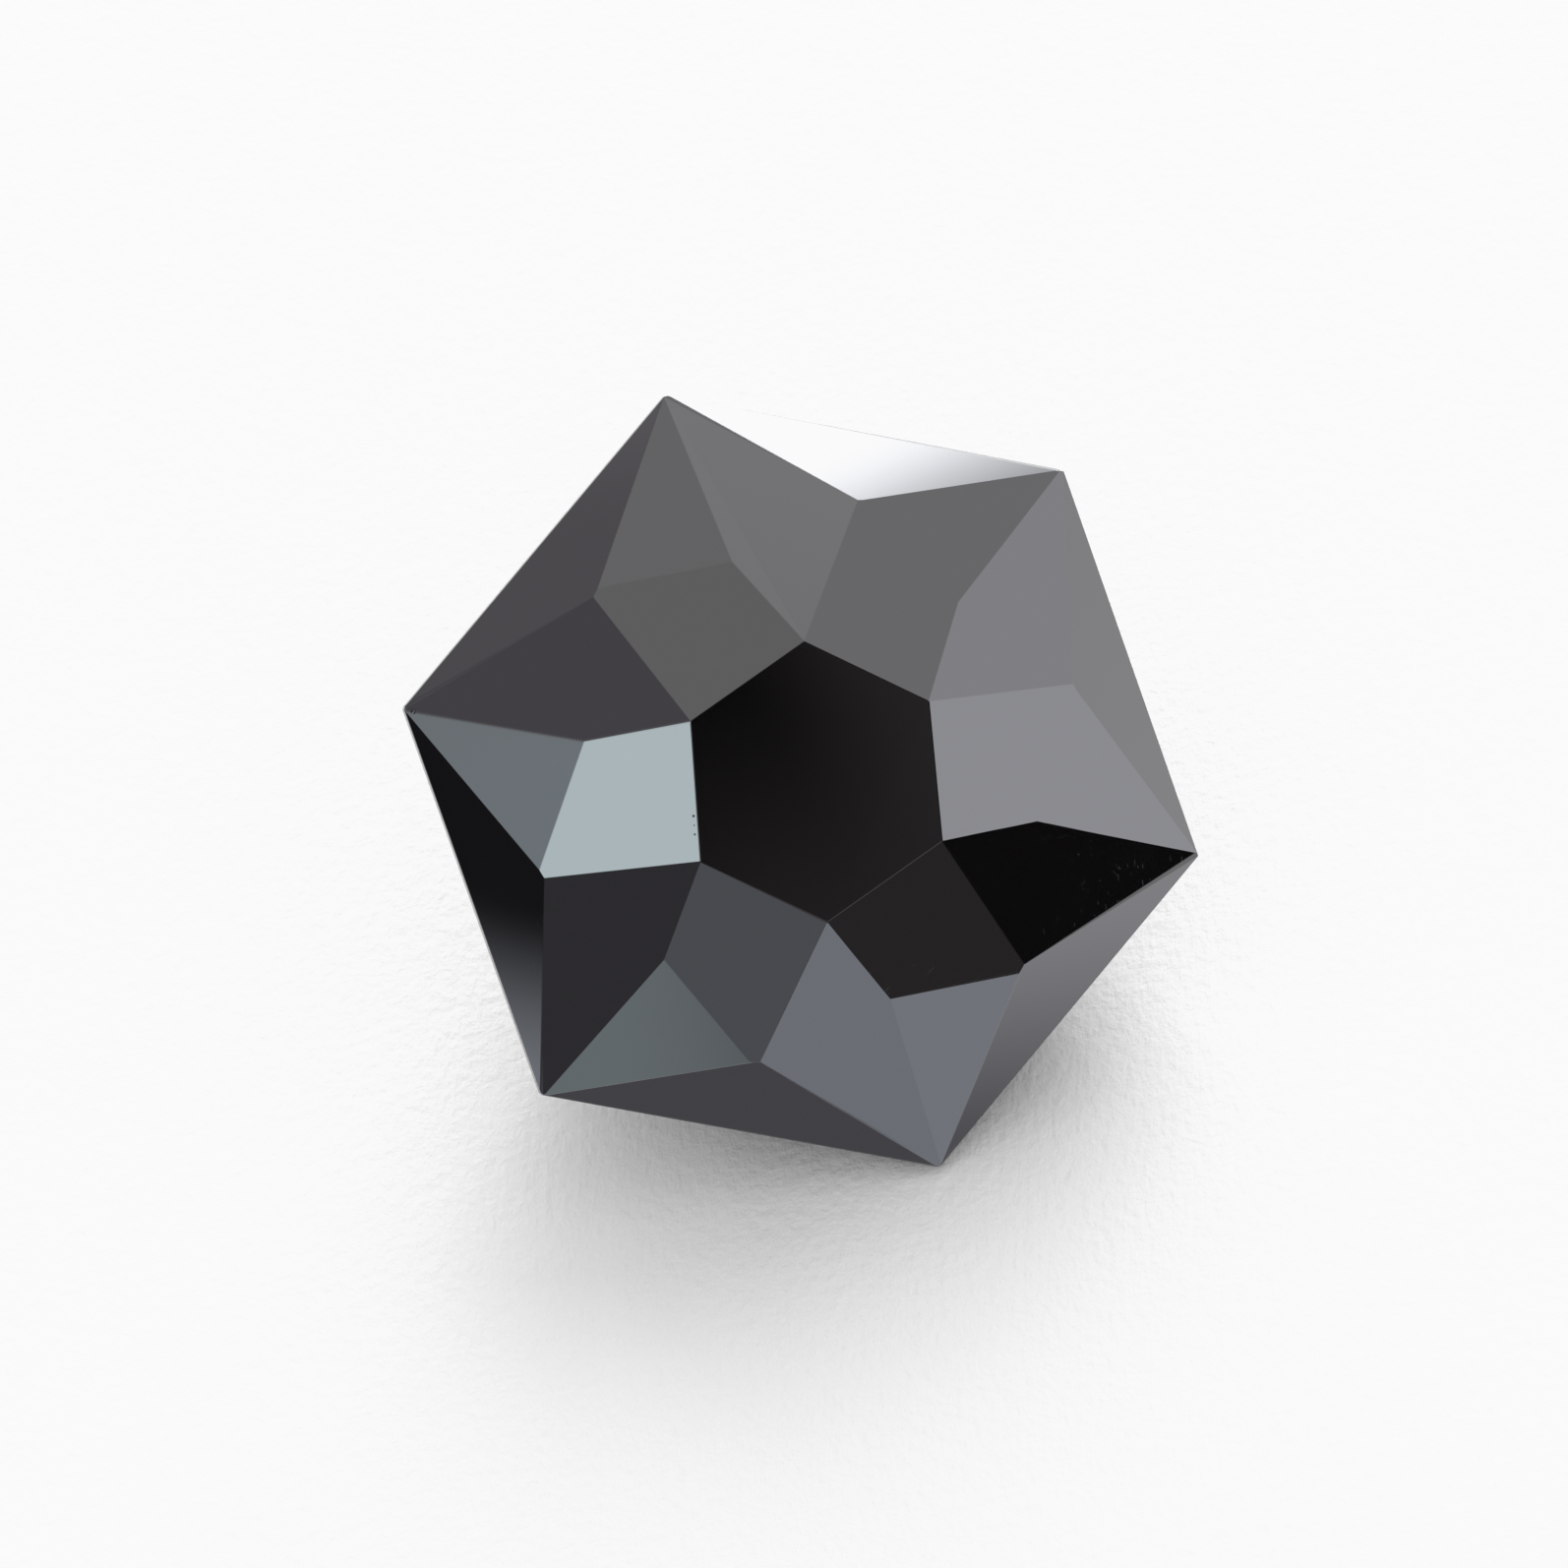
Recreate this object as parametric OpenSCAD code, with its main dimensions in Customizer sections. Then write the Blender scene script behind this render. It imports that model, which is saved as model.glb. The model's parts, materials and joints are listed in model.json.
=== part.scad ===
// Black hexagonal cut stone with a pinwheel crown, lying on one facet of its back.
// It is one solid. A hexagonal blank is ground flat, facet by facet, as a cutter works.
// Above the girdle, each corner has a kite and a triangle that share a ridge, and a
// quadrilateral up to the table. A low triangle rises from each side of the girdle.

/* [Girdle] */
// Width of the stone across opposite corners, before they are blunted
corner_w = 16.2; // [8:0.1:30]
// Width of the small upright flat that blunts each corner
corner_flat = 0.08; // [0.05:0.01:0.2]
// Thickness of the upright band round the stone
girdle_t = 0.24; // [0.1:0.02:0.5]

/* [Crown] */
// Height of the table above the girdle
crown_h = 1.54; // [1.2:0.02:2]
// Width of the table across its corners, as a share of the stone's
table_share = 0.34; // [0.32:0.01:0.36]
// Clockwise turn of the table against the girdle, in degrees
table_turn = 15; // [13:0.5:17]
// Width across the inner ends of the corner ridges, as a share of the stone's
ridge_share = 0.55; // [0.53:0.01:0.57]
// Width across the inner points of the side triangles, as a share of the stone's
side_share = 0.695; // [0.68:0.005:0.71]

/* [Back] */
// Slope of the six main facets of the back, in degrees from the girdle plane
main_angle = 46; // [42:0.5:48]
// Slope of the six break facets under the girdle's sides, in degrees
break_angle = 64; // [60:0.5:68]
// Width of the blunted point of the back, across its flats
culet_w = 0.16; // [0.1:0.02:0.6]

/* [Finish] */
// How far the kites stand proud of a perfect meet with their neighbours
meet_miss = 0.003; // [0.002:0.001:0.006]

/* [Hidden] */

sides = 6;
step = 360 / sides;
corner_r = corner_w / 2;
table_r = table_share * corner_r;
ridge_r = ridge_share * corner_r;
side_r = side_share * corner_r;
block = 3 * corner_w;

// A point at a radius, a clockwise turn seen from above the table, and a height.
// Turn 0 is the corner at the front, which the stone leans down on.
function at(r, turn, z) = [-r * sin(turn), -r * cos(turn), z];

// Radii and turns of the crown's points fix how it slopes, because its facets are flat.
// These heights are for a corner ridge that rises 1 for every 1 it runs inwards.
table_in = table_r * cos(table_turn);
table_across = table_r * sin(table_turn);
side_in = side_r * cos(step / 2);
side_across = side_r * sin(step / 2);
// Reach of the quadrilateral's outer points beyond the table's edge, along its slope
table_edge = table_r * cos(step / 2);
reach = (side_r * cos(table_turn) - table_edge)
    / (ridge_r * cos(step / 2 - table_turn) - table_edge);
// Fall of a kite away from its ridge
kite_fall = (reach * (ridge_r - table_in) - side_in + table_in)
    / ((1 - reach) * table_across - side_across);
unit_table_z = corner_r - table_in + kite_fall * table_across;
unit_side_z = corner_r - side_in + kite_fall * side_across;
unit_ridge_z = corner_r - ridge_r;

ridge_z = crown_h * unit_ridge_z / unit_table_z;
side_z = crown_h * unit_side_z / unit_table_z;

corner_a = at(corner_r, 0, 0);
corner_b = at(corner_r, step, 0);
side_a = at(side_r, step / 2, side_z);
side_before = at(side_r, -step / 2, side_z);
ridge_a = at(ridge_r, 0, ridge_z);
table_a = at(table_r, table_turn, crown_h);
table_before = at(table_r, table_turn - step, crown_h);

// Depth of the back's point below the crown's lower edge
main_depth = corner_r * tan(main_angle);
culet_depth = girdle_t + main_depth - culet_w / 2 * tan(main_angle);
// Each main facet stands a little proud of the corner above it
main_miss = 2 * meet_miss;
// Height of the girdle's centre when the stone lies on a main facet
rest_h = corner_r * sin(main_angle) + girdle_t * cos(main_angle) + main_miss;

// Unit direction that a facet of the back faces, from its turn and its slope
function back_facing(turn, slope) = [-sin(slope) * sin(turn), -sin(slope) * cos(turn), -cos(slope)];
// Unit direction that a crown facet faces, from three points on it
function upward(n) = n * sign(n.z) / norm(n);
function crown_facing(a, b, c) = upward(cross(b - a, c - a));

// Everything beyond a plane through a point, pushed out by a small miss
module beyond(point, dir, miss) {
    translate(point + miss * dir)
        rotate([0, acos(dir.z), atan2(dir.y, dir.x)])
            translate([-block / 2, -block / 2, 0])
                cube(block);
}

// What is ground away for one crown facet, from three points on it
module crown_cut(a, b, c, miss = 0) {
    beyond(a, crown_facing(a, b, c), miss);
}

// What is ground away for one facet of the back, from a point on it
module back_cut(point, turn, slope, miss = 0) {
    beyond(point, back_facing(turn, slope), miss);
}

module crown_cuts() {
    crown_cut(corner_a, ridge_a, side_a, meet_miss);
    crown_cut(corner_a, ridge_a, side_before, 2 * meet_miss);
    crown_cut(table_before, table_a, ridge_a);
    crown_cut(corner_a, corner_b, side_a);
}

module back_cuts() {
    below_corner = at(corner_r, 0, -girdle_t);
    back_cut(below_corner, 0, main_angle, main_miss);
    back_cut(below_corner, step / 2, break_angle);
}

// Hexagonal blank from the blunt point of the back up to the table, its corners blunted
module blank() {
    blank_h = culet_depth + crown_h;
    blunt_in = corner_flat / 2 * tan(step / 2);
    translate([0, 0, -culet_depth])
        intersection() {
            rotate(-90)
                cylinder(r = corner_r, h = blank_h, $fn = sides);
            rotate(-90 + step / 2)
                cylinder(r = (corner_r - blunt_in) / cos(step / 2), h = blank_h, $fn = sides);
        }
}

// The stone on its own axis, with the crown's lower edge at height 0
module upright_stone() {
    difference() {
        blank();
        for (i = [0 : sides - 1])
            rotate(-step * i) {
                crown_cuts();
                back_cuts();
            }
    }
}

module cut_stone() {
    color([0.03, 0.03, 0.035])
        translate([0, 0, rest_h])
            rotate([main_angle, 0, 0])
                upright_stone();
}

cut_stone();
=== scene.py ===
"""Looks for a black hexagonal cut stone: mirror polished facets with eased edges, lying on white paper."""
import json
import math
import random

import bpy
from mathutils import Matrix, Vector


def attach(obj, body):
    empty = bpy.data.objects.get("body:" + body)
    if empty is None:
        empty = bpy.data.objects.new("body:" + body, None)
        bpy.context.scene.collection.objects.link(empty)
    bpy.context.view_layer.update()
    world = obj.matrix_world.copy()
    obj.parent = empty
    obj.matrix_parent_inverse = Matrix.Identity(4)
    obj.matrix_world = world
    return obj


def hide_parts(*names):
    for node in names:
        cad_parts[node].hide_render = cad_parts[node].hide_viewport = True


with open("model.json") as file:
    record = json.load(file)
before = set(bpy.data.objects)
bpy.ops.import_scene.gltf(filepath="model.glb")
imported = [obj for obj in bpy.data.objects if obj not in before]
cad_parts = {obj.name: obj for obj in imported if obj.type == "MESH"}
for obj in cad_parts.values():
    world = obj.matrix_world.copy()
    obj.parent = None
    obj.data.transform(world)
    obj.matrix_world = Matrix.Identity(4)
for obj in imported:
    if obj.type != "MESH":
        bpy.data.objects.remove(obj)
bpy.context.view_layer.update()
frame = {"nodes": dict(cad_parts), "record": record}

MM = 0.001
mounts = {mount["name"]: mount for mount in frame["record"]["mounts"]}
girdle_centre = Vector(mounts["girdle_seat"]["pos_m"])


def toward(azimuth, elevation):
    """Unit direction from the stone, by azimuth from the front towards +X and by elevation."""
    across, up = math.radians(azimuth), math.radians(elevation)
    return Vector((math.sin(across) * math.cos(up), -math.cos(across) * math.cos(up), math.sin(up)))


# ------------------------------------------------------------------ shader nodes
class Wire:
    """A number or colour that comes out of a node. Sums on wires add Math nodes."""

    def __init__(self, recipe, socket):
        self.recipe = recipe
        self.socket = socket

    def __add__(self, other):
        return self.recipe.maths("ADD", self, other)

    def __sub__(self, other):
        return self.recipe.maths("SUBTRACT", self, other)

    def __rsub__(self, other):
        return self.recipe.maths("SUBTRACT", other, self)

    def __mul__(self, other):
        return self.recipe.maths("MULTIPLY", self, other)

    def __truediv__(self, other):
        return self.recipe.maths("DIVIDE", self, other)

    __radd__ = __add__
    __rmul__ = __mul__

    def rise(self, low, high):
        """0 up to low, 1 from high on, and smooth between them. With low above high it falls instead."""
        limits = {"Value": self, "From Min": low, "From Max": high}
        return self.recipe.add("ShaderNodeMapRange", {"interpolation_type": "SMOOTHSTEP"}, limits)

    def hump(self, start, full, ebb, end):
        """0 outside start to end, and 1 from full to ebb."""
        return self.rise(start, full) * self.rise(end, ebb)


class Recipe:
    """The node tree of one material, light or world. Every node in it is made by add()."""

    def __init__(self, owner):
        owner.use_nodes = True
        self.tree = owner.node_tree
        self.tree.nodes.clear()

    def add(self, kind, settings=None, inputs=None, out=0):
        """Adds a node, sets it up and fills its sockets with values or wires. Returns one output."""
        node = self.tree.nodes.new(kind)
        for name, setting in (settings or {}).items():
            setattr(node, name, setting)
        for name, value in (inputs or {}).items():
            if isinstance(value, Wire):
                self.tree.links.new(value.socket, node.inputs[name])
            else:
                node.inputs[name].default_value = value
        return Wire(self, node.outputs[out]) if len(node.outputs) else node

    def maths(self, operation, *values):
        return self.add("ShaderNodeMath", {"operation": operation}, dict(enumerate(values)))

    def place(self):
        """Object coordinates, in metres."""
        return self.add("ShaderNodeTexCoord", out="Object")

    def axes(self, vector):
        """The three parts of a vector."""
        split = self.add("ShaderNodeSeparateXYZ", inputs={0: vector}).socket.node
        return [Wire(self, socket) for socket in split.outputs]

    def turned(self, vector, angles, sizes):
        """A vector measured along axes turned by angles in degrees, in steps of these sizes."""
        turn = [math.radians(angle) for angle in angles]
        values = {"Vector": vector, "Rotation": turn, "Scale": sizes}
        return self.add("ShaderNodeMapping", {"vector_type": "TEXTURE"}, values)

    def noise(self, vector, scale, detail=2.0, roughness=0.5):
        values = {"Vector": vector, "Scale": scale, "Detail": detail, "Roughness": roughness}
        return self.add("ShaderNodeTexNoise", inputs=values)

    def blend(self, share, first, second):
        """One colour turning into another as share goes from 0 to 1."""
        settings = {"data_type": "RGBA"}
        return self.add("ShaderNodeMix", settings, {0: share, 6: first, 7: second}, out=2)

    def bump(self, height, distance, strength):
        values = {"Height": height, "Distance": distance, "Strength": strength}
        return self.add("ShaderNodeBump", inputs=values)

    def surface(self, **sockets):
        """Ends the material in one Principled shader."""
        names = {name.replace("_", " "): value for name, value in sockets.items()}
        shader = self.add("ShaderNodeBsdfPrincipled", inputs=names)
        self.add("ShaderNodeOutputMaterial", inputs={"Surface": shader})


def new_material(name):
    material = bpy.data.materials.new(name)
    return material, Recipe(material)


# ------------------------------------------------------------------ the stone
WORN_EASE = 0.042 * MM            # width of the most rounded facet edges
CRISP_SHARE = (0.26, 0.44)        # width of the other long edges, as shares of that
CORNER_SHARE = 0.12               # and of the short edges at the corners
SHORT_EDGE = 0.3 * MM             # edges under this length are short
EASE_STEPS = 3                    # flats that round one edge
CLOSE_MEET = 0.06 * MM            # facet corners nearer than this are one corner
FLAT_WITHIN = math.radians(0.4)   # faces that turn less than this are one facet


def only(obj):
    """Deselects everything, then selects one object and makes it active."""
    bpy.ops.object.select_all(action="DESELECT")
    obj.select_set(True)
    bpy.context.view_layer.objects.active = obj


def apply_modifier(obj, kind, **settings):
    only(obj)
    modifier = obj.modifiers.new(kind.title(), kind)
    for name, value in settings.items():
        setattr(modifier, name, value)
    bpy.ops.object.modifier_apply(modifier=modifier.name)


def merged_copy(node, name):
    """A copy of a CAD node with its loose triangles joined into whole facets."""
    only(frame["nodes"][node])
    bpy.ops.object.duplicate()
    copy = bpy.context.view_layer.objects.active
    copy.name = copy.data.name = name
    bpy.ops.object.mode_set(mode="EDIT")
    bpy.ops.mesh.select_all(action="SELECT")
    bpy.ops.mesh.remove_doubles(threshold=CLOSE_MEET)
    bpy.ops.mesh.dissolve_limited(angle_limit=FLAT_WITHIN)
    bpy.ops.mesh.normals_make_consistent(inside=False)
    bpy.ops.mesh.customdata_custom_splitnormals_clear()
    bpy.ops.object.mode_set(mode="OBJECT")
    bpy.ops.object.shade_flat()
    return copy


def facet_facing(stone, azimuth, elevation):
    """The facet that faces closest to this direction."""
    return max(stone.data.polygons, key=lambda facet: facet.normal.dot(toward(azimuth, elevation)))


def edge_between(stone, first, second):
    """The two ends of the edge that two facets share, each facet given by where it faces."""
    corners = set(facet_facing(stone, *first).vertices) & set(facet_facing(stone, *second).vertices)
    return sorted(corners, key=lambda corner: -stone.data.vertices[corner].co.z)


def ease_edges(stone, worn):
    """Rounds every facet edge a little, the worn ones more, and keeps the facets flat."""
    dice = random.Random(6)
    weights = stone.data.attributes.new("bevel_weight_edge", "FLOAT", "EDGE")
    for edge, weight in zip(stone.data.edges, weights.data):
        near, far = [stone.data.vertices[corner].co for corner in edge.vertices]
        if set(edge.vertices) in worn:
            weight.value = 1
        elif (far - near).length < SHORT_EDGE:
            weight.value = CORNER_SHARE
        else:
            weight.value = dice.uniform(*CRISP_SHARE)
    apply_modifier(stone, "BEVEL", width=WORN_EASE, segments=EASE_STEPS, limit_method="WEIGHT")


def chip(stone, place, size, turn):
    """Breaks a tiny flake out of the stone."""
    bpy.ops.mesh.primitive_ico_sphere_add(subdivisions=2, radius=size, location=place, rotation=turn)
    flake = bpy.context.object
    apply_modifier(stone, "BOOLEAN", operation="DIFFERENCE", solver="EXACT", object=flake)
    bpy.data.objects.remove(flake)


TABLE = (0, 44)                   # where some facets face, in degrees as toward() takes them
LEFT_QUAD = (-19.8, 46)
LEFT_KITE = (-21, 53)
LEFT_TRIANGLE = (-23.4, 47)
CHIPS = [(0.67, 0.026), (0.735, 0.015), (0.80, 0.022)]   # share of the edge, size in mm
CHIP_INSET = 0.075 * MM           # how far these flakes lie in from the edge
NOTCH_SHARE = 0.05                # a larger flake lies this far along its own edge
NOTCH_SIZE = 0.05 * MM
NOTCH_TURN = (0.4, 0.2, 0.9)


def polished_stone():
    stone = merged_copy("cut_stone", "polished_stone")
    chipped = edge_between(stone, TABLE, LEFT_QUAD)
    top, bottom = [stone.data.vertices[corner].co.copy() for corner in chipped]
    inward = (facet_facing(stone, *LEFT_QUAD).center - (top + bottom) / 2).normalized()
    kite_edges = [edge_between(stone, LEFT_KITE, other) for other in (LEFT_QUAD, LEFT_TRIANGLE)]
    notched, sharp_end = [stone.data.vertices[corner].co.copy() for corner in kite_edges[1]]
    ease_edges(stone, [set(edge) for edge in kite_edges])
    dice = random.Random(3)
    for share, size in CHIPS:
        turn = [dice.uniform(0, math.pi) for axis in range(3)]
        chip(stone, top.lerp(bottom, share) + inward * CHIP_INSET, size * MM, turn)
    chip(stone, notched.lerp(sharp_end, NOTCH_SHARE), NOTCH_SIZE, NOTCH_TURN)
    only(stone)
    bpy.ops.object.shade_flat()
    stone.data.materials.clear()
    stone.data.materials.append(polished_black())
    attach(stone, "root")
    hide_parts("cut_stone")


SCRATCH_ANGLES = [(0, -20, 20), (0, 31, -35), (0, -45, 75)]   # all three lie close to the table
SCRATCH_LENGTH = 2.5 * MM
SCRATCH_WIDTH = 0.022 * MM
SCRATCH_DEPTH = 0.00012 * MM
HAZE_SCALE = 900.0
DUST_SCALE = 420.0
DUST_REACH = (0.012, 0.007)       # edge and core of a grain, as shares of the grains' spacing
CLEAN_DARK = (0.0010, 0.0010, 0.0011, 1)
CLEAN_PALE = (0.0018, 0.0017, 0.0019, 1)
DUSTY = (0.012, 0.012, 0.013, 1)
MIRROR_ROUGH = 0.012
STONE_INDEX = 2.5


def polished_black():
    """Opaque black stone under a mirror polish, with hairline scratches and a trace of haze."""
    material, mix = new_material("polished black stone")
    place = mix.place()
    haze = mix.noise(place, HAZE_SCALE, 3.0)
    scratches = 0.0
    for angles in SCRATCH_ANGLES:
        along = mix.turned(place, angles, (SCRATCH_LENGTH, SCRATCH_WIDTH, SCRATCH_WIDTH))
        lines = mix.noise(along, 1.0, 0.0).rise(0.79, 0.84)
        patches = mix.noise(mix.turned(place, angles, (MM, MM, MM)), 0.4, 0.0).rise(0.56, 0.66)
        scratches = lines * patches + scratches
    grains = {"Vector": place, "Scale": DUST_SCALE}
    dust = mix.add("ShaderNodeTexVoronoi", inputs=grains, out="Distance").rise(*DUST_REACH)
    colour = mix.blend(dust, mix.blend(haze, CLEAN_DARK, CLEAN_PALE), DUSTY)
    rough = MIRROR_ROUGH + haze.rise(0.45, 0.75) * 0.018 + scratches * 0.05 + dust * 0.3
    dent = mix.bump(1 - scratches, SCRATCH_DEPTH, 0.6)
    mix.surface(Base_Color=colour, Roughness=rough, IOR=STONE_INDEX, Normal=dent)
    return material


# ------------------------------------------------------------------ what it lies on
FIBRE_TURN = (0, 0, -21)
FIBRE_SIZE = (0.17 * MM, 0.55 * MM, 1 * MM)
FELT_DEPTH = 0.10 * MM
FELT_SCALE = 3400.0
SPECK_SCALE = 160.0
SPECK_REACH = (0.009, 0.005)      # edge and core of a speck, as shares of the specks' spacing
PAPER_DARK = (0.845, 0.845, 0.845, 1)
PAPER_PALE = (0.87, 0.87, 0.87, 1)
SPECK = (0.5, 0.48, 0.45, 1)
SHEET_SIZE = 6.0


def paper():
    """White paper with a felt of fibres that mostly run front to back."""
    material, mix = new_material("white paper")
    place = mix.place()
    fibres = mix.noise(mix.turned(place, FIBRE_TURN, FIBRE_SIZE), 1.0, 4.0, 0.55)
    felt = fibres * 0.42 + mix.noise(place, FELT_SCALE, 3.0, 0.6) * 0.58
    spots = {"Vector": place, "Scale": SPECK_SCALE}
    specks = mix.add("ShaderNodeTexVoronoi", inputs=spots, out="Distance").rise(*SPECK_REACH)
    colour = mix.blend(specks * 0.3, mix.blend(felt, PAPER_DARK, PAPER_PALE), SPECK)
    dent = mix.bump(felt, FELT_DEPTH, 0.7)
    mix.surface(Base_Color=colour, Roughness=0.95, Specular_IOR_Level=0.0, Normal=dent)
    return material


def floor():
    bpy.ops.mesh.primitive_plane_add(size=SHEET_SIZE)
    sheet = bpy.context.object
    sheet.name = "floor"
    sheet.data.materials.append(paper())


# ------------------------------------------------------------------ light
# What the facets mirror is a glowing tent close round the stone. Its panels are painted reflections of a
# camera and its stand, walls, lamps, lit and shaded paper and a dark room, with painted glints.
# Its panels are set out by azimuth from the front towards +X, and by elevation, in degrees: where each
# starts, is full, ebbs and ends.
TENT_RADIUS = 75 * MM
TENT_POWER = 6.0
PLAIN = (1.0, 1.0, 1.03)
CLEAR = (0.985, 1.0, 1.04)
WARM = (1.10, 1.0, 1.05)
LILAC = (1.015, 1.0, 1.08)
MAUVE = (1.05, 1.0, 1.09)
VIOLET = (1.06, 1.0, 1.15)
BLUE = (0.99, 1.0, 1.07)
COOL = (0.945, 1.0, 1.12)
SLATE = (0.88, 1.0, 1.09)
TEAL = (0.863, 1.0, 1.05)
TENT_CLOTH = 0.60                 # brightness where there is no panel
TENT_PANELS = [
    # azimuth, elevation, brightness, tint
    ((-60, -20, 190, 200), (71.5, 78, 91, 92), 0.68, PLAIN),         # paler top
    ((-190, -150, -34, -14), (48, 57, 72, 82), 0.27, VIOLET),        # dim cloth, upper left
    ((-190, -150, -108, -98), (60, 66, 91, 92), 0.36, MAUVE),        # a little less dim behind it
    ((-190, -170, -121, -112), (60, 66, 91, 92), 0.50, MAUVE),       # and paler at its far end
    ((18, 40, 104, 120), (-11, -10, 91, 92), 0.74, PLAIN),           # pale right half
    ((32, 60, 75, 95), (57, 66, 80, 86), 0.95, PLAIN),               # brighter patch high up on it
    ((38.2, 38.8, 110, 130), (-11, -10, 40, 48), 1.14, LILAC),       # bright wall on the right
    ((66, 70, 110, 130), (-11, -10, 24, 30), 1.10, PLAIN),           # its far end
    ((66, 70, 110, 130), (-11, -10, 6, 16), 1.24, PLAIN),            # lit paper in front of that
    ((38.2, 38.8, 56, 66), (-11, -10, 27, 33), 1.41, BLUE),          # brightest low corner
    ((-95, -80, 2, 10), (5, 6, 36, 44), 0.125, VIOLET),              # dark room on the left
    ((-95, -85, -52, -44), (5, 6, 36, 44), 0.03, VIOLET),            # darker still further round
    ((-120, -110, -52, -46), (-11, -10, 19.2, 22.7), 0.90, COOL),    # white ground, left
    ((-52, -46, 27, 34), (-11, -10, 7.6, 9.3), 0.84, COOL),          # white ground, front
    ((7, 11, 22, 30), (-11, -10, 7.6, 9.3), 0.93, COOL),             # a brighter part of it
    ((-24, -22, -11, -8), (-11, -10, 21.5, 23.0), 0.37, COOL),       # dull card at the front
    ((-25, -22, -20.5, -14.5), (-11, -10, 18, 20), 0.76, TEAL),      # its bright edge
    ((-10, -4, 38.0, 38.6), (7.8, 9.4, 50, 60), 0.014, WARM),        # black camera and its stand
    ((2, 6, 24, 34), (30, 36, 37, 43), 0.070, WARM),                 # glint low on the camera
    ((11, 15.5, 18, 32), (8.0, 9.4, 40, 60), 0.085, WARM),           # and along its right side
    ((-5, -1, 19, 24), (21, 24, 29, 33), 0.36, WARM),                # bright plate under it
    ((-10.5, -8.5, 5, 11), (-11, -10, 13, 15.5), 0.84, COOL),        # white ground under that
    ((-62, -38, -24, -20), (36, 42, 46.5, 54), 0.90, SLATE),         # glow round the small lamp
    ((-38, -34, -26, -24), (38, 41, 49, 52), 2.50, TEAL),            # small lamp beside the camera
    ((102.2, 107.2, 160, 176), (2, 12, 76, 84), 5.4, CLEAR),         # large soft box, back right
    ((102.2, 107.2, 160, 176), (2, 12, 36, 46), 3.3, CLEAR),         # its weaker lower half
    ((-200, -190, -116, -100), (0, 6, 40, 56), 0.07, VIOLET),        # dark room behind on the left
    ((-166, -156, -150, -138), (10, 20, 36, 52), 1.7, PLAIN),        # narrow soft box in it
    ((78, 88, 94, 101), (14, 20, 30, 46), 0.12, LILAC),              # dark gap beside the wall
]


def only_mirrored(obj):
    """Hides an object from everything but mirror reflections."""
    for sight in ("camera", "diffuse", "transmission", "volume_scatter", "shadow"):
        setattr(obj, "visible_" + sight, False)


def light_tent():
    """A glowing shell of painted reflections, which only mirror reflections see."""
    bpy.ops.mesh.primitive_uv_sphere_add(
        segments=48, ring_count=24, radius=TENT_RADIUS, location=girdle_centre
    )
    tent = bpy.context.object
    tent.name = "light_tent"
    only_mirrored(tent)
    material, mix = new_material("tent light")
    x, y, z = mix.axes(mix.place())
    azimuth = mix.maths("ARCTAN2", x, y * -1.0) * math.degrees(1)
    elevation = mix.maths("ARCSINE", z / TENT_RADIUS) * math.degrees(1)
    shade = mix.add("ShaderNodeRGB")
    level = TENT_CLOTH / TENT_POWER
    shade.socket.default_value = (level, level, level, 1)
    # each panel paints a reflection, light or shade, into the tent's glow
    for across, up, brightness, tint in TENT_PANELS:
        panel = [brightness / TENT_POWER * part for part in tint]
        shade = mix.blend(azimuth.hump(*across) * elevation.hump(*up), shade, (*panel, 1))
    glow = mix.add("ShaderNodeEmission", inputs={"Color": shade, "Strength": TENT_POWER})
    mix.add("ShaderNodeOutputMaterial", inputs={"Surface": glow})
    material.cycles.emission_sampling = "NONE"
    tent.data.materials.append(material)


CARD_MIDDLE = (1 * MM, -14.5 * MM, 0.05 * MM)
CARD_SIZE = (34 * MM, 19 * MM)
CARD_FADE_X = (-17 * MM, -13 * MM, 13 * MM, 17 * MM)
CARD_FADE_Y = (-9.5 * MM, -6 * MM, 7.6 * MM, 9.2 * MM)
CARD_SHADE_X = (-3 * MM, 13 * MM)
# painted shade and painted light of the mirrored paper: dim on the left, lit towards +X
CARD_DIM = (0.29, 0.28, 0.32, 1)
CARD_LIT = (1.14, 1.13, 1.20, 1)


def painted_shade_card():
    """A glowing card on the paper in front, which only the low front facets mirror: a painted reflection
    of the paper, with painted shade turning to painted light towards +X.
    """
    bpy.ops.mesh.primitive_plane_add(size=1, location=CARD_MIDDLE)
    card = bpy.context.object
    card.name = "painted_shade_card"
    bpy.ops.object.mode_set(mode="EDIT")
    bpy.ops.transform.resize(value=(*CARD_SIZE, 1))
    bpy.ops.object.mode_set(mode="OBJECT")
    only_mirrored(card)
    material, mix = new_material("shaded card")
    x, y, z = mix.axes(mix.place())
    # painted shade turning to painted light along X
    shade = mix.blend(x.rise(*CARD_SHADE_X), CARD_DIM, CARD_LIT)
    glow = mix.add("ShaderNodeEmission", inputs={"Color": shade})
    clear = mix.add("ShaderNodeBsdfTransparent")
    cover = x.hump(*CARD_FADE_X) * y.hump(*CARD_FADE_Y)
    card_or_clear = mix.add("ShaderNodeMixShader", inputs={0: cover, 1: clear, 2: glow})
    mix.add("ShaderNodeOutputMaterial", inputs={"Surface": card_or_clear})
    material.cycles.emission_sampling = "NONE"
    card.data.materials.append(material)


LAMP_DISTANCE = 0.6
LAMPS = [
    # name, azimuth, elevation, half the angle that it fills as the stone sees it, radiance
    ("key", 145, 35, 20, 3.99),
    ("low_key", 165, 22, 24, 3.23),
    ("front_fill", -10, 26, 30, 0.74),
]


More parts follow.
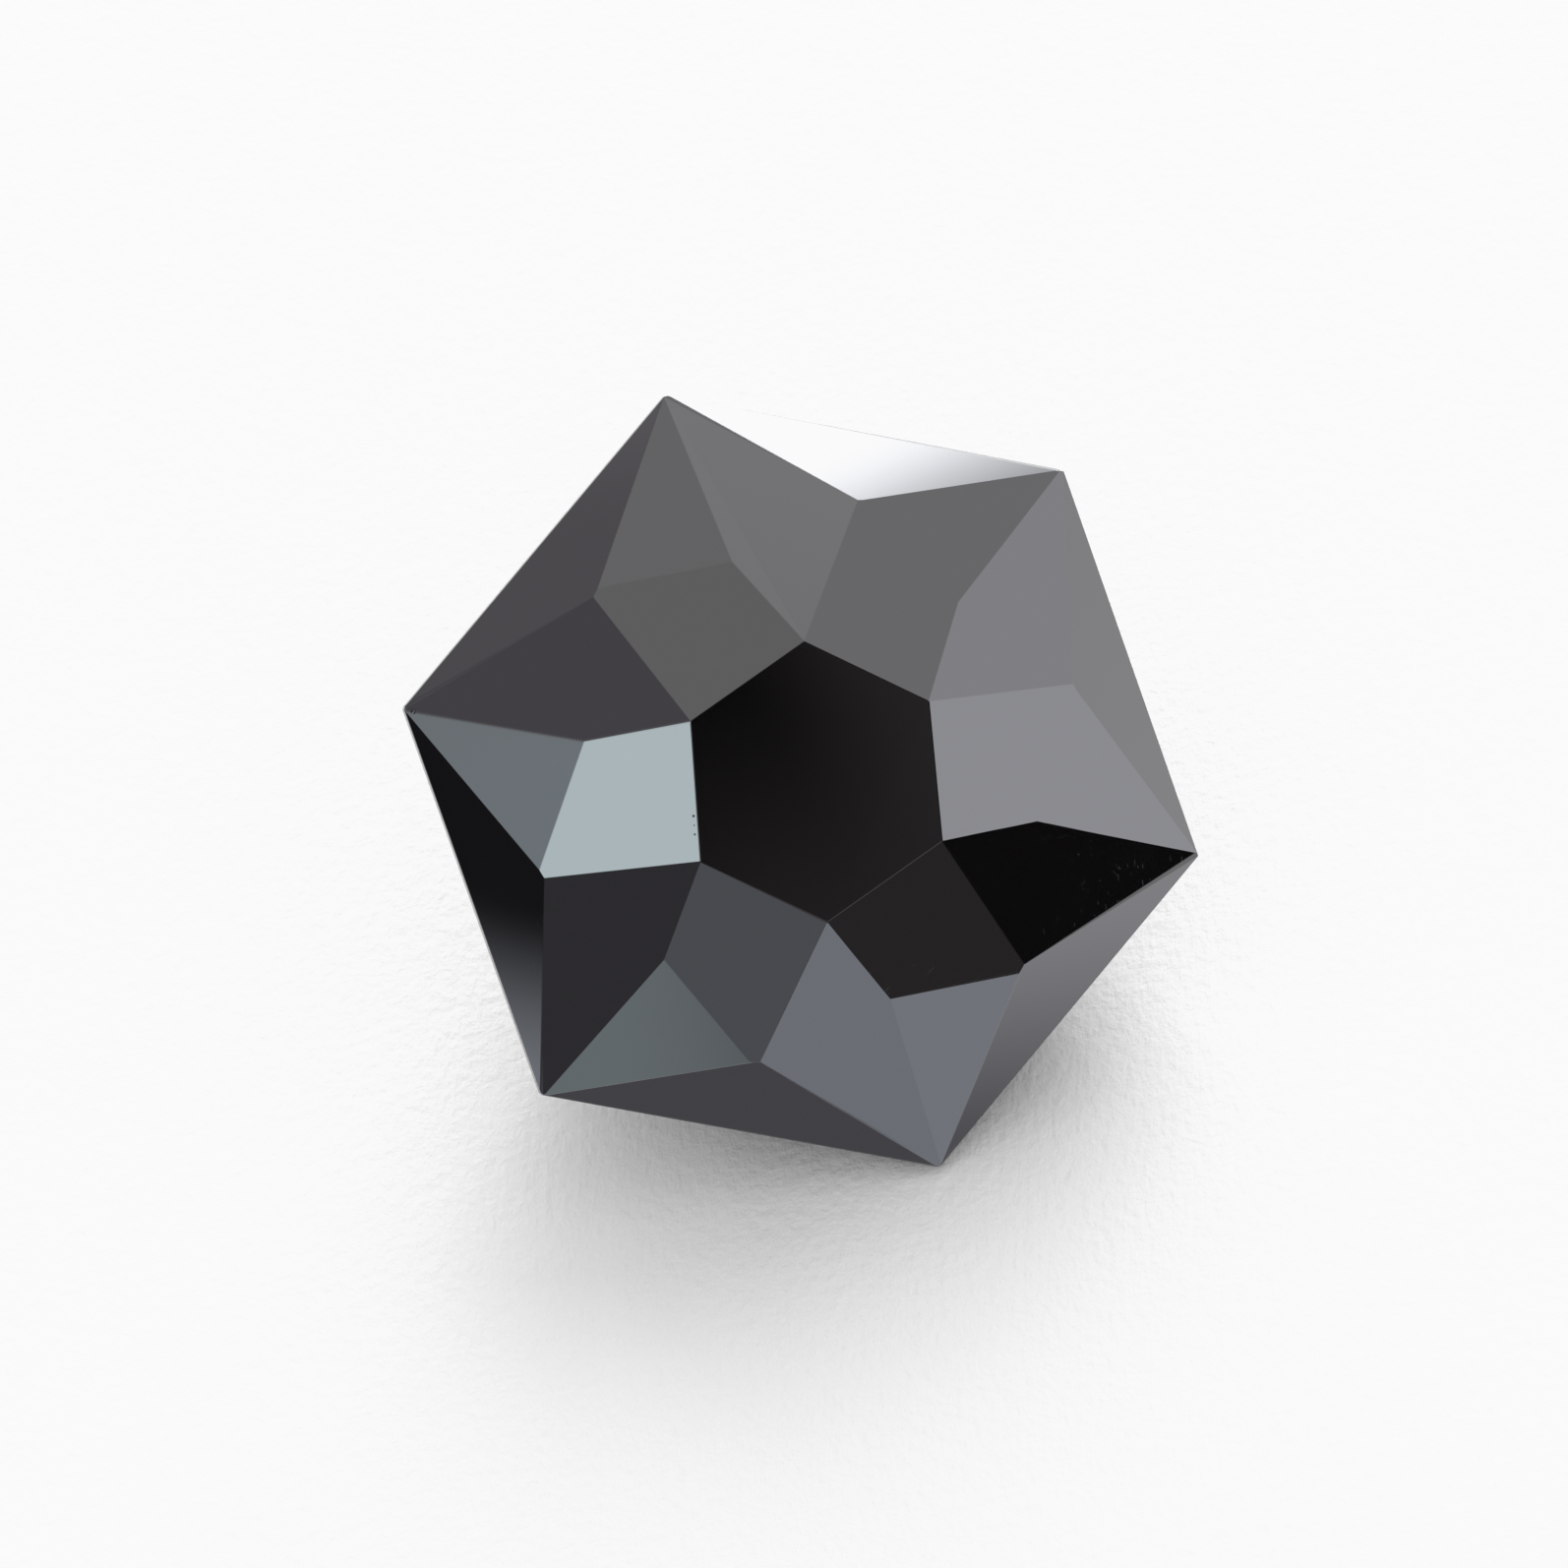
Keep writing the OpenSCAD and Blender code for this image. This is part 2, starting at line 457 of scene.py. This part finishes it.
def soft_box(name, azimuth, elevation, half_angle, radiance):
    """A round light on the paper, which the facets don't mirror."""
    light = bpy.data.lights.new(name, "AREA")
    light.shape = "DISK"
    light.size = 2 * LAMP_DISTANCE * math.tan(math.radians(half_angle))
    light.energy = radiance * math.pi * math.pi * (light.size / 2) ** 2
    lamp = bpy.data.objects.new(name, light)
    bpy.context.scene.collection.objects.link(lamp)
    away = toward(azimuth, elevation)
    lamp.location = girdle_centre + away * LAMP_DISTANCE
    lamp.rotation_euler = away.to_track_quat("Z", "Y").to_euler()
    lamp.visible_camera = False
    lamp.visible_glossy = False


SKY_LIGHT = (0.67, 0.67, 0.67, 1)
BACKDROP = (0.95, 0.95, 0.95, 1)


def sky():
    """Even light from all round, and a pale backdrop where the camera sees past the paper."""
    world = bpy.data.worlds.new("studio")
    bpy.context.scene.world = world
    mix = Recipe(world)
    seen = mix.add("ShaderNodeLightPath", out="Is Camera Ray")
    shade = mix.blend(seen, SKY_LIGHT, BACKDROP)
    glow = mix.add("ShaderNodeBackground", inputs={"Color": shade})
    mix.add("ShaderNodeOutputWorld", inputs={"Surface": glow})
    world.cycles_visibility.glossy = False


# ------------------------------------------------------------------ camera
CAMERA_AZIMUTH = -13.1
CAMERA_ELEVATION = 45.9
CAMERA_ROLL = -10.5
CAMERA_DISTANCE = 456 * MM
CAMERA_LENS = 530
CAMERA_SIDESTEP = -0.35 * MM
CAMERA_RISE = -0.05 * MM
CAMERA_CLIP = 0.01


def camera():
    turn = Matrix.Rotation(math.radians(CAMERA_AZIMUTH), 4, "Z")
    tip = Matrix.Rotation(math.radians(90 - CAMERA_ELEVATION), 4, "X")
    roll = Matrix.Rotation(math.radians(CAMERA_ROLL), 4, "Z")
    facing = turn @ tip @ roll
    lens = bpy.data.cameras.new("camera")
    lens.lens = CAMERA_LENS
    lens.clip_start = CAMERA_CLIP
    eye = bpy.data.objects.new("camera", lens)
    bpy.context.scene.collection.objects.link(eye)
    offset = facing @ Vector((CAMERA_SIDESTEP, CAMERA_RISE, CAMERA_DISTANCE))
    eye.matrix_world = Matrix.Translation(girdle_centre + offset) @ facing
    bpy.context.scene.camera = eye


WHITE_SHOWN = 0.956
TONES = [(0.3, 0.3), (0.6, 0.61), (0.8, 0.84), (0.9, 0.93)]   # light given, light shown


def develop():
    """Straight tones, with the white paper held just under pure white."""
    view = bpy.context.scene.view_settings
    view.view_transform = "Standard"
    view.use_curve_mapping = True
    tones = view.curve_mapping.curves[3]
    tones.points[-1].location = (1.0, WHITE_SHOWN)
    for given, shown in TONES:
        tones.points.new(given, shown)
    view.curve_mapping.update()


camera()
polished_stone()
floor()
light_tent()
painted_shade_card()
for lamp in LAMPS:
    soft_box(*lamp)
sky()
develop()
